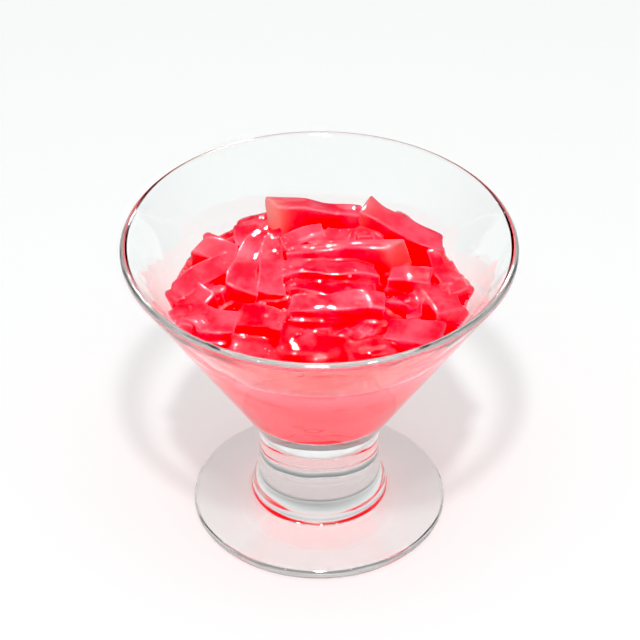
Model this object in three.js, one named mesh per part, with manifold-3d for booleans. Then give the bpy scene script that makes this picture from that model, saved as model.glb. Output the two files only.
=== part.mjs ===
// A footed dessert glass filled with red syrup and heaped with cut strips of red jelly.
// Millimetres, +Z up. The origin is on the glass's axis, on the surface the foot stands on.

import * as THREE from "three";
import { mergeVertices } from "three/addons/utils/BufferGeometryUtils.js";
import Module from "manifold-3d";

// Glass: overall sizes
const RIM_DIAMETER = 110;
const GLASS_HEIGHT = 92.2;
const FOOT_DIAMETER = 72.6;
const STEM_DIAMETER = 34.6;
const STEM_BASE_DIAMETER = 38.4;

// Glass: foot, stem and bowl details
const FOOT_EDGE_THICKNESS = 3.2;
const FOOT_RISE = 3.1;
const STEM_BASE_ROUNDING = 2.2;
const STEM_FLARE_TOP = 15;
const BOWL_START = 29.6;
const LIP_THICKNESS = 2.4;
const BOWL_FLOOR = 38;
const BOWL_FLOOR_RADIUS = 19;
const BOWL_FLOOR_ROUNDING = 8;
const GLASS_SEGMENTS = 56;

// Contents
const SYRUP_LEVEL = 73.6;
const FITTING_GAP = 0.3;
const CORE_EDGE_RISE = 0.6;
const CORE_SHOULDER_RADIUS = 30;
const CORE_SHOULDER_RISE = 0.9;
const CORE_RISE = 3.0;
const CONTENTS_SEGMENTS = 48;
const STRIP_CHAMFER = 0.7;
const STRIP_STEPS = 2;

// Jelly strips that stand out of the syrup: where each one's middle is, its length, width and
// height, its turn about the upright axis, the lift of its far end and its roll, and its sag.
const STRIPS = [
  { at: [-1.6, 25.4, 80.8], size: [24, 6.0, 11.6], turn: [4, -9, -8], sag: 0.6 },
  { at: [22.8, 18.8, 82.6], size: [24, 8.0, 6.4], turn: [-22, -14, 14], sag: -1.2 },
  { at: [7.2, 7.6, 81.4], size: [31, 4.6, 10.0], turn: [2, 3, 0], sag: 0.4 },
  { at: [3.4, 2.6, 79.4], size: [27, 5.4, 7.0], turn: [0, 0, 0], sag: 0.8 },
  { at: [3.8, -3.2, 76.4], size: [25, 6.6, 5.0], turn: [-1, 0, 0], sag: 0 },
  { at: [4.6, -9.4, 76.6], size: [27, 7.6, 6.8], turn: [1, 0, 0], sag: 0.3 },
  { at: [-20.0, 7.6, 79.2], size: [23, 9.2, 7.6], turn: [78, 8, 0], sag: 0.5 },
  { at: [-13.0, 7.4, 79.2], size: [23, 6.2, 7.6], turn: [88, 9, 0], sag: 0.3 },
  { at: [-28.6, 13.4, 78.2], size: [12, 8.0, 5.6], turn: [-20, 0, 10], sag: 0 },
  { at: [-32.0, 4.8, 77.4], size: [22, 7.4, 6.0], turn: [42, 4, 20], sag: 0.4 },
  { at: [-34.6, -3.6, 75.4], size: [11, 8.0, 6.0], turn: [-50, 0, 20], sag: 0 },
  { at: [-33.6, -12.8, 74.0], size: [9, 7.0, 6.0], turn: [-10, 0, 10], sag: 0 },
  { at: [-27.6, -15.2, 73.8], size: [10, 9.0, 7.0], turn: [-8, 0, 8], sag: 0 },
  { at: [-16.0, -13.0, 74.4], size: [13, 8.0, 6.0], turn: [-18, 0, 12], sag: 0 },
  { at: [-19.0, -24.5, 72.8], size: [12, 8.0, 6.0], turn: [-6, 0, 6], sag: 0 },
  { at: [-2.0, -22.0, 72.8], size: [17, 9.0, 7.0], turn: [-6, 0, 6], sag: 0.3 },
  { at: [14.0, -24.5, 73.0], size: [13, 8.0, 6.5], turn: [14, 0, 0], sag: 0.3 },
  { at: [26.0, -18.4, 73.8], size: [15, 9.0, 6.0], turn: [-12, 0, 8], sag: 0 },
  { at: [33.8, -6.5, 74.4], size: [13, 10.0, 7.4], turn: [-70, 0, 0], sag: 0 },
  { at: [25.4, 2.4, 76.4], size: [12, 7.0, 7.4], turn: [-6, 0, 0], sag: 0 },
  { at: [32.8, 7.6, 77.4], size: [16, 4.4, 6.0], turn: [-72, -8, 0], sag: 0.4 },
  { at: [37.0, 3.4, 75.8], size: [13, 6.0, 6.0], turn: [-68, -4, 0], sag: 0 },
  { at: [-3.0, 15.0, 78.4], size: [9, 5.0, 6.0], turn: [60, 0, 0], sag: 0 },
  { at: [5.0, 15.5, 78.4], size: [9, 5.0, 5.0], turn: [20, 0, 0], sag: 0 },
  { at: [-16.0, 24.6, 77.0], size: [14, 9.0, 6.5], turn: [20, 0, 0], sag: 0 },
  { at: [-28.5, 22.0, 73.4], size: [16, 8.0, 6.0], turn: [45, 0, 8], sag: 0.4 },
  { at: [-4.0, 34.6, 75.8], size: [22, 8.0, 7.0], turn: [8, 0, -6], sag: 0.5 },
  { at: [14.0, 30.6, 76.2], size: [18, 8.0, 7.0], turn: [-35, 0, 0], sag: 0.4 },
  { at: [27.6, 26.4, 74.0], size: [16, 8.0, 6.5], turn: [-50, 0, -8], sag: 0.3 },
  { at: [-15.0, 36.0, 73.8], size: [14, 7.0, 6.0], turn: [24, 0, 0], sag: 0 },
];

const wasm = await Module();
wasm.setup();

// Radii and slopes that follow from the driving sizes
const lipRadius = LIP_THICKNESS / 2;
const lipCentre = new THREE.Vector2(RIM_DIAMETER / 2 - lipRadius, GLASS_HEIGHT - lipRadius);
const stemRadius = STEM_DIAMETER / 2;
const stemBaseRadius = STEM_BASE_DIAMETER / 2;
const wallSlope = (lipCentre.x + lipRadius - stemRadius) / (lipCentre.y - BOWL_START);
const wallTilt = Math.atan(wallSlope);
const lipInner = new THREE.Vector2(
  lipCentre.x - lipRadius * Math.cos(wallTilt),
  lipCentre.y + lipRadius * Math.sin(wallTilt),
);
const innerSlope = (lipInner.x - BOWL_FLOOR_RADIUS) / (lipInner.y - BOWL_FLOOR);

// Inside radius of the bowl at a height on its straight wall
function innerRadius(height) {
  return BOWL_FLOOR_RADIUS + (height - BOWL_FLOOR) * innerSlope;
}

// Points along an arc in the (radius, height) half-plane, both ends included
function arcPoints(centre, radius, startAngle, endAngle, steps) {
  const points = [];
  for (let i = 0; i <= steps; i += 1) {
    const angle = startAngle + ((endAngle - startAngle) * i) / steps;
    points.push(
      new THREE.Vector2(centre.x + radius * Math.cos(angle), centre.y + radius * Math.sin(angle)),
    );
  }
  return points;
}

// Points along a smooth bend from one point to another, drawn towards a corner point
function bendPoints(from, corner, to, steps) {
  return new THREE.QuadraticBezierCurve(from, corner, to).getPoints(steps);
}

// Outline turned about the upright axis; it runs anticlockwise from the axis back to the axis
function turned(points, segments) {
  const geometry = new THREE.LatheGeometry(points, segments);
  geometry.rotateX(Math.PI / 2);
  return geometry;
}

// The rounded bottom of the bowl, from the axis out to the straight wall, set in by a gap
function bowlFloorPoints(gap) {
  const tilt = Math.atan(innerSlope);
  const reach = BOWL_FLOOR_ROUNDING * Math.tan((Math.PI / 2 - tilt) / 2);
  const floor = BOWL_FLOOR + gap;
  const corner = new THREE.Vector2(innerRadius(floor) - gap / Math.cos(tilt), floor);
  const onFloor = new THREE.Vector2(corner.x - reach, floor);
  const onWall = new THREE.Vector2(
    corner.x + reach * Math.sin(tilt),
    corner.y + reach * Math.cos(tilt),
  );
  return [new THREE.Vector2(0, floor), ...bendPoints(onFloor, corner, onWall, 5)];
}

// Clear glass: flat-bottomed foot, thick solid stem and a straight-sided conical bowl
function glassOutline() {
  const footRadius = FOOT_DIAMETER / 2;
  const edge = FOOT_EDGE_THICKNESS / 2;
  const edgeCentre = new THREE.Vector2(footRadius - edge, edge);
  const footTop = FOOT_EDGE_THICKNESS + FOOT_RISE;
  const filletStart = new THREE.Vector2(stemBaseRadius + STEM_BASE_ROUNDING, footTop);
  const filletEnd = new THREE.Vector2(stemBaseRadius, footTop + STEM_BASE_ROUNDING);
  const filletCorner = new THREE.Vector2(stemBaseRadius, footTop);
  const flareEnd = new THREE.Vector2(stemRadius, STEM_FLARE_TOP);
  const flareCorner = new THREE.Vector2(stemRadius, (filletEnd.y + STEM_FLARE_TOP) / 2);
  return [
    new THREE.Vector2(0, 0),
    ...arcPoints(edgeCentre, edge, -Math.PI / 2, Math.PI / 2, 6),
    ...bendPoints(filletStart, filletCorner, filletEnd, 3),
    ...bendPoints(filletEnd, flareCorner, flareEnd, 4).slice(1),
    new THREE.Vector2(stemRadius, BOWL_START),
    ...arcPoints(lipCentre, lipRadius, -wallTilt, Math.PI - wallTilt, 6),
    ...bowlFloorPoints(0).reverse(),
  ];
}

// Syrup: fills the bowl to its level, a fitting gap inside the glass
function syrupOutline() {
  const topRadius = innerRadius(SYRUP_LEVEL) - FITTING_GAP / Math.cos(Math.atan(innerSlope));
  return [
    ...bowlFloorPoints(FITTING_GAP),
    new THREE.Vector2(topRadius, SYRUP_LEVEL),
    new THREE.Vector2(0, SYRUP_LEVEL),
  ];
}

// Low mound that the standing strips are bedded in
function coreOutline() {
  const base = SYRUP_LEVEL + FITTING_GAP;
  const edge = innerRadius(base) - 2 * FITTING_GAP;
  return [
    new THREE.Vector2(0, base),
    new THREE.Vector2(edge, base),
    new THREE.Vector2(edge, base + CORE_EDGE_RISE),
    new THREE.Vector2(CORE_SHOULDER_RADIUS, base + CORE_SHOULDER_RISE),
    new THREE.Vector2(0, base + CORE_RISE),
  ];
}

// Room inside the bowl above the syrup, which the heap keeps to
function heapRoomOutline() {
  const base = SYRUP_LEVEL + FITTING_GAP;
  const inset = FITTING_GAP / Math.cos(Math.atan(innerSlope));
  return [
    new THREE.Vector2(0, base),
    new THREE.Vector2(innerRadius(base) - inset, base),
    new THREE.Vector2(innerRadius(GLASS_HEIGHT) - inset, GLASS_HEIGHT),
    new THREE.Vector2(0, GLASS_HEIGHT),
  ];
}

// Cross-section of a cut strip, with its four long edges chamfered
function stripSection(width, height) {
  const w = width / 2;
  const h = height / 2;
  const c = STRIP_CHAMFER;
  const section = new THREE.Shape();
  section.moveTo(-w + c, -h);
  section.lineTo(w - c, -h);
  section.lineTo(w, -h + c);
  section.lineTo(w, h - c);
  section.lineTo(w - c, h);
  section.lineTo(-w + c, h);
  section.lineTo(-w, h - c);
  section.lineTo(-w, -h + c);
  section.closePath();
  return section;
}

// One jelly strip: lies along its own X, sags at both ends, then is turned and set in place
function stripGeometry({ at, size, turn, sag }) {
  const [length, width, height] = size;
  const [yaw, lift, roll] = turn.map(THREE.MathUtils.degToRad);
  const geometry = new THREE.ExtrudeGeometry(stripSection(width, height), {
    depth: length,
    steps: STRIP_STEPS,
    bevelEnabled: false,
  });
  geometry.translate(0, 0, -length / 2);
  geometry.applyMatrix4(new THREE.Matrix4().set(0, 0, 1, 0, 1, 0, 0, 0, 0, 1, 0, 0, 0, 0, 0, 1));
  const position = geometry.attributes.position;
  for (let i = 0; i < position.count; i += 1) {
    const along = (2 * position.getX(i)) / length;
    position.setZ(i, position.getZ(i) - sag * along * along);
  }
  geometry.applyMatrix4(
    new THREE.Matrix4().makeRotationFromEuler(new THREE.Euler(roll, -lift, yaw, "ZYX")),
  );
  geometry.translate(...at);
  return geometry;
}

// Closed mesh as a solid that can be joined and cut
function solidFrom(geometry) {
  const bare = geometry.clone();
  bare.deleteAttribute("normal");
  bare.deleteAttribute("uv");
  const merged = mergeVertices(bare, 1e-4);
  return new wasm.Manifold(
    new wasm.Mesh({
      numProp: 3,
      vertProperties: new Float32Array(merged.attributes.position.array),
      triVerts: new Uint32Array(merged.index.array),
    }),
  );
}

// Solid back as a mesh geometry
function geometryFrom(solid) {
  const mesh = solid.getMesh();
  const geometry = new THREE.BufferGeometry();
  geometry.setAttribute("position", new THREE.Float32BufferAttribute(mesh.vertProperties, 3));
  geometry.setIndex(Array.from(mesh.triVerts));
  geometry.computeVertexNormals();
  return geometry;
}

// The heap of strips, joined in one body and kept inside the bowl and above the syrup
function heapGeometry() {
  let heap = solidFrom(turned(coreOutline(), CONTENTS_SEGMENTS));
  for (const strip of STRIPS) {
    heap = heap.add(solidFrom(stripGeometry(strip)));
  }
  return geometryFrom(heap.intersect(solidFrom(turned(heapRoomOutline(), CONTENTS_SEGMENTS))));
}

function piece(name, geometry, colour, roughness, extras = {}) {
  const material = new THREE.MeshStandardMaterial({
    color: colour,
    roughness,
    metalness: 0,
    ...extras,
  });
  const mesh = new THREE.Mesh(geometry, material);
  mesh.name = name;
  return mesh;
}

const dessert = new THREE.Group();
dessert.name = "jelly_in_dessert_glass";
dessert.add(
  piece("dessert_glass", turned(glassOutline(), GLASS_SEGMENTS), 0xe6efec, 0.04, {
    transparent: true,
    opacity: 0.35,
  }),
  piece("syrup", turned(syrupOutline(), CONTENTS_SEGMENTS), 0xf01a2c, 0.08),
  piece("jelly_heap", heapGeometry(), 0xff4a62, 0.14),
);

export default dessert;
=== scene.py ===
"""A footed dessert glass of red jelly strips in syrup, dressed for a studio photograph."""

import logging
import math
from dataclasses import dataclass, field, replace
from enum import Enum
from random import Random

import bpy
import numpy as np
from mathutils import Euler, Matrix, Vector, noise
from mathutils.bvhtree import BVHTree


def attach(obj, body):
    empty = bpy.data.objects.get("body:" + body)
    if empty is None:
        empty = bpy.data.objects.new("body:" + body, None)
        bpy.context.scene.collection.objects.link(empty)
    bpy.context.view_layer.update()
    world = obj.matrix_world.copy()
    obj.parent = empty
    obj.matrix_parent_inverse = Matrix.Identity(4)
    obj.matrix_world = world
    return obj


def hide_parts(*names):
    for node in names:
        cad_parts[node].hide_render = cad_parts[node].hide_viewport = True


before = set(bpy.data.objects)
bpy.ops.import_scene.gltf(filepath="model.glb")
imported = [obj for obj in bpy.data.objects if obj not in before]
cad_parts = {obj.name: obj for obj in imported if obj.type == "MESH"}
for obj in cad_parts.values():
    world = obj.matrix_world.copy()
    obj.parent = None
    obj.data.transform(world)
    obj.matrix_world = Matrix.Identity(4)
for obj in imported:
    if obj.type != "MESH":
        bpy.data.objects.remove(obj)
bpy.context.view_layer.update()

LOG = logging.getLogger("jelly_dessert")
MM = 0.001
MERGE_GAP = 0.01         # millimetres within which two points are one
AXIS_GUARD = 1e-6        # smallest radius that is divided by
BODY = "root"
Colour = tuple[float, float, float]
Triple = tuple[float, float, float]
Span = tuple[float, float]
Source = bpy.types.NodeSocket | Colour | float


class Slot(Enum):
    """Names of material slots, which the main materials here share."""

    GLASS = "clear_glass"
    SYRUP = "red_syrup"
    JELLY = "red_jelly"


class Ray(Enum):
    """Kinds of light that a material can let straight through."""

    LAMP = "Is Shadow Ray"
    BOUNCE = "Is Diffuse Ray"


class Mark(Enum):
    """Numbers that a mesh stores at each point for its material."""

    TONE = "tone"
    # painted shade, darker towards a strip's underside
    LOW = "low"
    # painted light shining through a strip's thin ends
    PALE = "lit_ends"
    # painted highlight and painted light through thin jelly, along the cut edges
    EDGE = "edge"
    # where sunk strips show through the syrup; on the glass this also holds the painted reflection
    SUNK = "sunk"


def softened(share: np.ndarray) -> np.ndarray:
    """Return shares between 0 and 1 with a soft start and end."""
    return share * share * (3 - 2 * share)


class Bench:
    """Modelling moves that the pieces share."""

    @staticmethod
    def clear() -> None:
        """Leave edit mode and deselect everything."""
        if bpy.context.object and bpy.context.object.mode != "OBJECT":
            bpy.ops.object.mode_set(mode="OBJECT")
        bpy.ops.object.select_all(action="DESELECT")

    @staticmethod
    def pick(*objects: bpy.types.Object) -> None:
        """Select just these objects.

        Args:
            objects: Objects to select, the first one active.
        """
        Bench.clear()
        for item in objects:
            item.select_set(True)
        bpy.context.view_layer.objects.active = objects[0]

    @staticmethod
    def turned(name: str, outline: list[Vector], steps: int) -> bpy.types.Object:
        """Trace an outline by extruding one vertex along it, then spin it about the upright axis.

        Args:
            name: Name of the new object.
            outline: Points (radius, 0, height) in metres, from the axis back to the axis.
            steps: Number of steps in a full turn.

        Returns:
            The closed round object.
        """
        Bench.clear()
        bpy.ops.mesh.primitive_plane_add(size=MM)
        item = bpy.context.object
        item.name = name
        bpy.ops.object.mode_set(mode="EDIT")
        bpy.ops.mesh.select_mode(type="VERT")
        bpy.ops.mesh.select_all(action="SELECT")
        bpy.ops.mesh.merge(type="CENTER")
        bpy.ops.transform.translate(value=outline[0])
        for here, there in zip(outline, outline[1:]):
            bpy.ops.mesh.extrude_region_move(TRANSFORM_OT_translate={"value": there - here})
        bpy.ops.mesh.select_all(action="SELECT")
        bpy.ops.mesh.spin(steps=steps, angle=math.tau, center=(0, 0, 0), axis=(0, 0, 1))
        bpy.ops.mesh.select_all(action="SELECT")
        bpy.ops.mesh.remove_doubles(threshold=MERGE_GAP * MM)
        bpy.ops.mesh.normals_make_consistent(inside=False)
        bpy.ops.object.mode_set(mode="OBJECT")
        bpy.ops.object.shade_smooth()
        return item

    @staticmethod
    def joined(name: str, items: list[bpy.types.Object]) -> bpy.types.Object:
        """Join objects into the first one.

        Args:
            name: Name of the joined object.
            items: Objects to join.

        Returns:
            The joined object, selected.
        """
        Bench.pick(*items)
        bpy.ops.object.join()
        item = bpy.context.object
        item.name = name
        item.data.name = name
        return item

    @staticmethod
    def fused(name: str, items: list[bpy.types.Object]) -> bpy.types.Object:
        """Join objects, two by two, into one skin without the faces that lie inside another of them.

        Args:
            name: Name of the fused object.
            items: Closed objects to fuse.

        Returns:
            The fused object, selected.
        """
        while len(items) > 1:
            for whole, item in zip(items[::2], items[1::2]):
                Bench.modify(whole, "BOOLEAN", operation="UNION", solver="MANIFOLD", object=item)
                bpy.data.objects.remove(item)
            items = items[::2]
        return Bench.joined(name, items)

    @staticmethod
    def modify(item: bpy.types.Object, kind: str, **settings: object) -> None:
        """Add one modifier, set it and apply it.

        Args:
            item: Object to change.
            kind: Modifier type.
            settings: Values for the modifier's properties.
        """
        Bench.pick(item)
        modifier = item.modifiers.new(kind.title(), kind)
        for key, value in settings.items():
            setattr(modifier, key, value)
        bpy.ops.object.modifier_apply(modifier=modifier.name)

    @staticmethod
    def vectors(item: bpy.types.Object, key: str) -> np.ndarray:
        """Read a vector at each of the mesh's points.

        Args:
            item: Object to read.
            key: Name of the points' vector property.

        Returns:
            The vectors, one row each.
        """
        values = np.empty(len(item.data.vertices) * 3, np.float32)
        item.data.vertices.foreach_get(key, values)
        return values.reshape(-1, 3).astype(float)

    @staticmethod
    def points(item: bpy.types.Object) -> np.ndarray:
        """Return the mesh's points in millimetres, one row each."""
        return Bench.vectors(item, "co") / MM

    @staticmethod
    def normals(item: bpy.types.Object) -> np.ndarray:
        """Return the normal at each of the mesh's points, one row each."""
        return Bench.vectors(item, "normal")

    @staticmethod
    def move_points(item: bpy.types.Object, points: np.ndarray) -> None:
        """Give the mesh new points, in millimetres."""
        item.data.vertices.foreach_set("co", (points * MM).astype(np.float32).ravel())
        item.data.update()

    @staticmethod
    def mark(item: bpy.types.Object, mark: Mark, values: np.ndarray | list[float]) -> None:
        """Store one number for each of the mesh's points, for a material to read.

        Args:
            item: Object to mark.
            mark: What the numbers mean.
            values: The numbers, one for each point.
        """
        stored = item.data.attributes
        layer = stored.get(mark.value) or stored.new(mark.value, "FLOAT", "POINT")
        layer.data.foreach_set("value", np.asarray(values, np.float32))

    @staticmethod
    def tree(item: bpy.types.Object) -> BVHTree:
        """Return the mesh's faces, in millimetres, for finding the nearest point or what a ray hits."""
        faces = [tuple(face.vertices) for face in item.data.polygons]
        return BVHTree.FromPolygons([Vector(p) for p in Bench.points(item)], faces)


class Graph:
    """A tree of shader nodes under construction."""

    def __init__(self, tree: bpy.types.NodeTree) -> None:
        """Take up a node tree."""
        self.nodes = tree.nodes
        self.links = tree.links

    def link(self, source: bpy.types.NodeSocket, target: bpy.types.NodeSocket) -> None:
        """Join an output to an input."""
        self.links.new(source, target)

    def add(self, kind: str, **settings: object) -> bpy.types.Node:
        """Add a node.

        Args:
            kind: Node type.
            settings: Values for the node's properties.

        Returns:
            The new node.
        """
        node = self.nodes.new(kind)
        for key, value in settings.items():
            setattr(node, key, value)
        return node

    def feed(self, target: bpy.types.NodeSocket, source: Source) -> None:
        """Give an input its value.

        Args:
            target: The input.
            source: Another node's output, a colour or a number.
        """
        if isinstance(source, bpy.types.NodeSocket):
            self.link(source, target)
        elif isinstance(source, tuple):
            target.default_value = (*source, 1.0)
        else:
            target.default_value = source

    def range(self, value: bpy.types.NodeSocket, low: float, high: float,
              to_low: float = 0.0, to_high: float = 1.0) -> bpy.types.NodeSocket:
        """Move a value from one range to another, smoothly and held at the ends.

        Args:
            value: The value to move.
            low: Start of its range.
            high: End of its range.
            to_low: Start of the new range.
            to_high: End of the new range.

        Returns:
            The moved value.
        """
        node = self.add("ShaderNodeMapRange", interpolation_type="SMOOTHSTEP")
        self.link(value, node.inputs["Value"])
        ends = {"From Min": low, "From Max": high, "To Min": to_low, "To Max": to_high}
        for key, number in ends.items():
            node.inputs[key].default_value = number
        return node.outputs["Result"]


class Shader(Graph):
    """A node material under construction."""

    def __init__(self, name: str) -> None:
        """Start a material with one Principled surface.

        Args:
            name: Name of the material.
        """
        self.material = bpy.data.materials.new(name)
        self.material.use_nodes = True
        super().__init__(self.material.node_tree)
        self.surface = self.nodes["Principled BSDF"]

    def set(self, **values: object) -> "Shader":
        """Set constant values on the surface's own sockets.

        Args:
            values: Values by the sockets' names, with underscores for spaces.

        Returns:
            The shader itself.
        """
        for key, value in values.items():
            self.surface.inputs[key.replace("_", " ")].default_value = value
        return self

    def place(self) -> bpy.types.NodeSocket:
        """Return the object's own coordinates."""
        return self.add("ShaderNodeTexCoord").outputs["Object"]

    def noise(self, size: float, detail: float = 1.0) -> bpy.types.NodeSocket:
        """Add a soft noise.

        Args:
            size: Size of its features in millimetres.
            detail: Number of finer layers in it.

        Returns:
            The noise, about 0.5.
        """
        node = self.add("ShaderNodeTexNoise")
        node.inputs["Scale"].default_value = 1.0 / (size * MM)
        node.inputs["Detail"].default_value = detail
        self.link(self.place(), node.inputs["Vector"])
        return node.outputs["Fac"]

    def mark(self, mark: Mark) -> bpy.types.NodeSocket:
        """Return a number that the mesh stores."""
        return self.add("ShaderNodeAttribute", attribute_name=mark.value).outputs["Fac"]

    def facing(self) -> bpy.types.NodeSocket:
        """Return 0 where the surface is seen square on, rising to 1 at its outline."""
        return self.add("ShaderNodeLayerWeight").outputs["Facing"]

    def blend(self, share: bpy.types.NodeSocket, first: Source, second: Source) -> bpy.types.NodeSocket:
        """Blend two colours.

        Args:
            share: How much of the second colour there is.
            first: A colour or another node's output.
            second: A colour or another node's output.

        Returns:
            The colour between them.
        """
        node = self.add("ShaderNodeMix", data_type="RGBA")
        self.link(share, node.inputs["Factor"])
        for key, colour in (("A", first), ("B", second)):
            self.feed(next(s for s in node.inputs if s.name == key and s.type == "RGBA"), colour)
        return next(s for s in node.outputs if s.type == "RGBA")

    def colour(self, source: bpy.types.NodeSocket) -> None:
        """Drive the surface's colour."""
        self.link(source, self.surface.inputs["Base Color"])

    def coat(self, kind: str, colour: Source) -> bpy.types.NodeSocket:
        """Add another plain surface.

        Args:
            kind: Node type.
            colour: A colour or another node's output.

        Returns:
            The surface.
        """
        node = self.add(kind)
        self.feed(node.inputs["Color"], colour)
        return node.outputs["BSDF"]

    def mix(self, share: Source, first: bpy.types.NodeSocket,
            second: bpy.types.NodeSocket) -> bpy.types.NodeSocket:
        """Mix two surfaces.

        Args:
            share: How much of the second surface there is, a number or another node's output.
            first: The first surface.
            second: The second surface.

        Returns:
            The mixed surface.
        """
        node = self.add("ShaderNodeMixShader")
        for target, source in zip(node.inputs, (share, first, second)):
            self.feed(target, source)
        return node.outputs["Shader"]

    def finish(self, surface: bpy.types.NodeSocket) -> None:
        """Use another surface than the plain Principled one."""
        self.link(surface, self.nodes["Material Output"].inputs["Surface"])

    def let_light(self, colour: Source, *rays: Ray) -> None:
        """Let some kinds of light straight through.

        Args:
            colour: Tint of the light, a colour or another node's output.
            rays: Kinds of light.
        """
        clear = self.coat("ShaderNodeBsdfTransparent", colour)
        path = self.add("ShaderNodeLightPath")
        surface = self.surface.outputs["BSDF"]
        for ray in rays:
            surface = self.mix(path.outputs[ray.value], surface, clear)
        self.finish(surface)

    def bump(self, height: bpy.types.NodeSocket, depth: float, strength: float = 1.0) -> None:
        """Roughen the surface's normal.

        Args:
            height: Height from 0 to 1.
            depth: Depth of a height of 1, in millimetres.
            strength: Share of the effect.
        """
        node = self.add("ShaderNodeBump")
        node.inputs["Strength"].default_value = strength
        node.inputs["Distance"].default_value = depth * MM
        self.link(height, node.inputs["Height"])
        self.link(node.outputs["Normal"], self.surface.inputs["Normal"])


@dataclass(frozen=True)
class GlassFinish:
    """Clear pressed glass with a faint green cast. Lamp and bounced light pass straight through it.

    The passed colours tint that light: less of it passes at the lip, in the foot and where the glass
    is seen edge on. Heights and sizes are in millimetres.
    """

    tint: Colour = (0.970, 0.990, 0.983)
    index: float = 1.5
    passed: Colour = (0.97, 0.98, 0.978)
    passed_edge: Colour = (0.25, 0.26, 0.26)
    passed_lip: Colour = (0.48, 0.49, 0.49)
    passed_foot: Colour = (0.91, 0.925, 0.925)
    edge_from: Span = (0.62, 0.97)
    foot_to: Span = (6.5, 8.0)
    lip_from: Span = (79.0, 86.0)
    wave_size: float = 13.0
    wave_depth: float = 0.2

    def material(self) -> bpy.types.Material:
        """Make the finish.

        Returns:
            The finish as a material.
        """
        shader = Shader("clear_glass")
        shader.set(Base_Color=(*self.tint, 1.0), Roughness=0.0, IOR=self.index,
                   Transmission_Weight=1.0)
        shader.bump(shader.noise(self.wave_size), self.wave_depth)
        place = shader.add("ShaderNodeSeparateXYZ")
        shader.link(shader.place(), place.inputs["Vector"])
        above_foot, in_lip = (shader.range(place.outputs["Z"], low * MM, high * MM)
                              for low, high in (self.foot_to, self.lip_from))
        passed = shader.blend(above_foot, self.passed_foot, self.passed)
        passed = shader.blend(in_lip, passed, self.passed_lip)
        passed = shader.blend(shader.range(shader.facing(), *self.edge_from), passed, self.passed_edge)
        shader.let_light(passed, Ray.LAMP, Ray.BOUNCE)
        return shader.material


@dataclass(frozen=True)
class JellyFinish:
    """Wet translucent jelly: deep in the middle of a face, paler along its cut edges as a painted highlight
    with painted light through the thin jelly. Its ends are paler where painted light shines through them,
    and its undersides darker, a painted shade.

    Depth is how far light wanders inside it and spread how that differs by colour. Clouds vary its
    colour and ripples its surface. Sizes are in millimetres.
    """

    deep: Colour = (1.0, 0.006, 0.034)
    light: Colour = (1.0, 0.118, 0.185)
    # painted highlight: paler pink along the cut edges, standing in for highlights and light through the
    # thin jelly
    edge: Colour = (1.0, 0.24, 0.31)
    # painted light: pale orange where light shines through a strip's thin ends
    thin: Colour = (1.0, 0.34, 0.30)
    passed: Colour = (0.99, 0.42, 0.48)
    depth: float = 9.0
    spread: Triple = (1.0, 0.20, 0.24)
    roughness: float = 0.04
    index: float = 1.42
    cloud_size: float = 7.0
    cloud_detail: float = 3.0
    cloud_from: Span = (0.35, 0.68)
    # how much the painted shade on the undersides darkens the jelly
    low_shade_share: float = 0.9
    ripple_size: float = 3.0
    ripple_depth: float = 0.25
    ripple_strength: float = 0.5

    def tint(self, shader: Shader) -> bpy.types.NodeSocket:
        """Work out the jelly's colour from what the mesh stores.

        Args:
            shader: The shader that needs it.

        Returns:
            The colour.
        """
        clouds = shader.range(shader.noise(self.cloud_size, self.cloud_detail), *self.cloud_from)
        # painted shade: darker towards the underside
        low = shader.range(shader.mark(Mark.LOW), 0.0, 1.0, 0.0, self.low_shade_share)
        colour = shader.blend(clouds, self.deep, self.light)
        colour = shader.blend(shader.mark(Mark.TONE), colour, self.light)
        colour = shader.blend(low, colour, self.deep)
        # painted light through the strip's thin ends
        colour = shader.blend(shader.mark(Mark.PALE), colour, self.thin)
        # painted highlight along the cut edges
        return shader.blend(shader.mark(Mark.EDGE), colour, self.edge)

    def material(self) -> bpy.types.Material:
        """Make the finish.

        Returns:
            The finish as a material.
        """
        shader = Shader("red_jelly")
        shader.set(Roughness=self.roughness, IOR=self.index, Subsurface_Weight=1.0,
                   Subsurface_Radius=self.spread, Subsurface_Scale=self.depth * MM)
        shader.colour(self.tint(shader))
        shader.bump(shader.noise(self.ripple_size), self.ripple_depth, self.ripple_strength)
        shader.let_light(self.passed, Ray.LAMP)
        return shader.material


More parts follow.
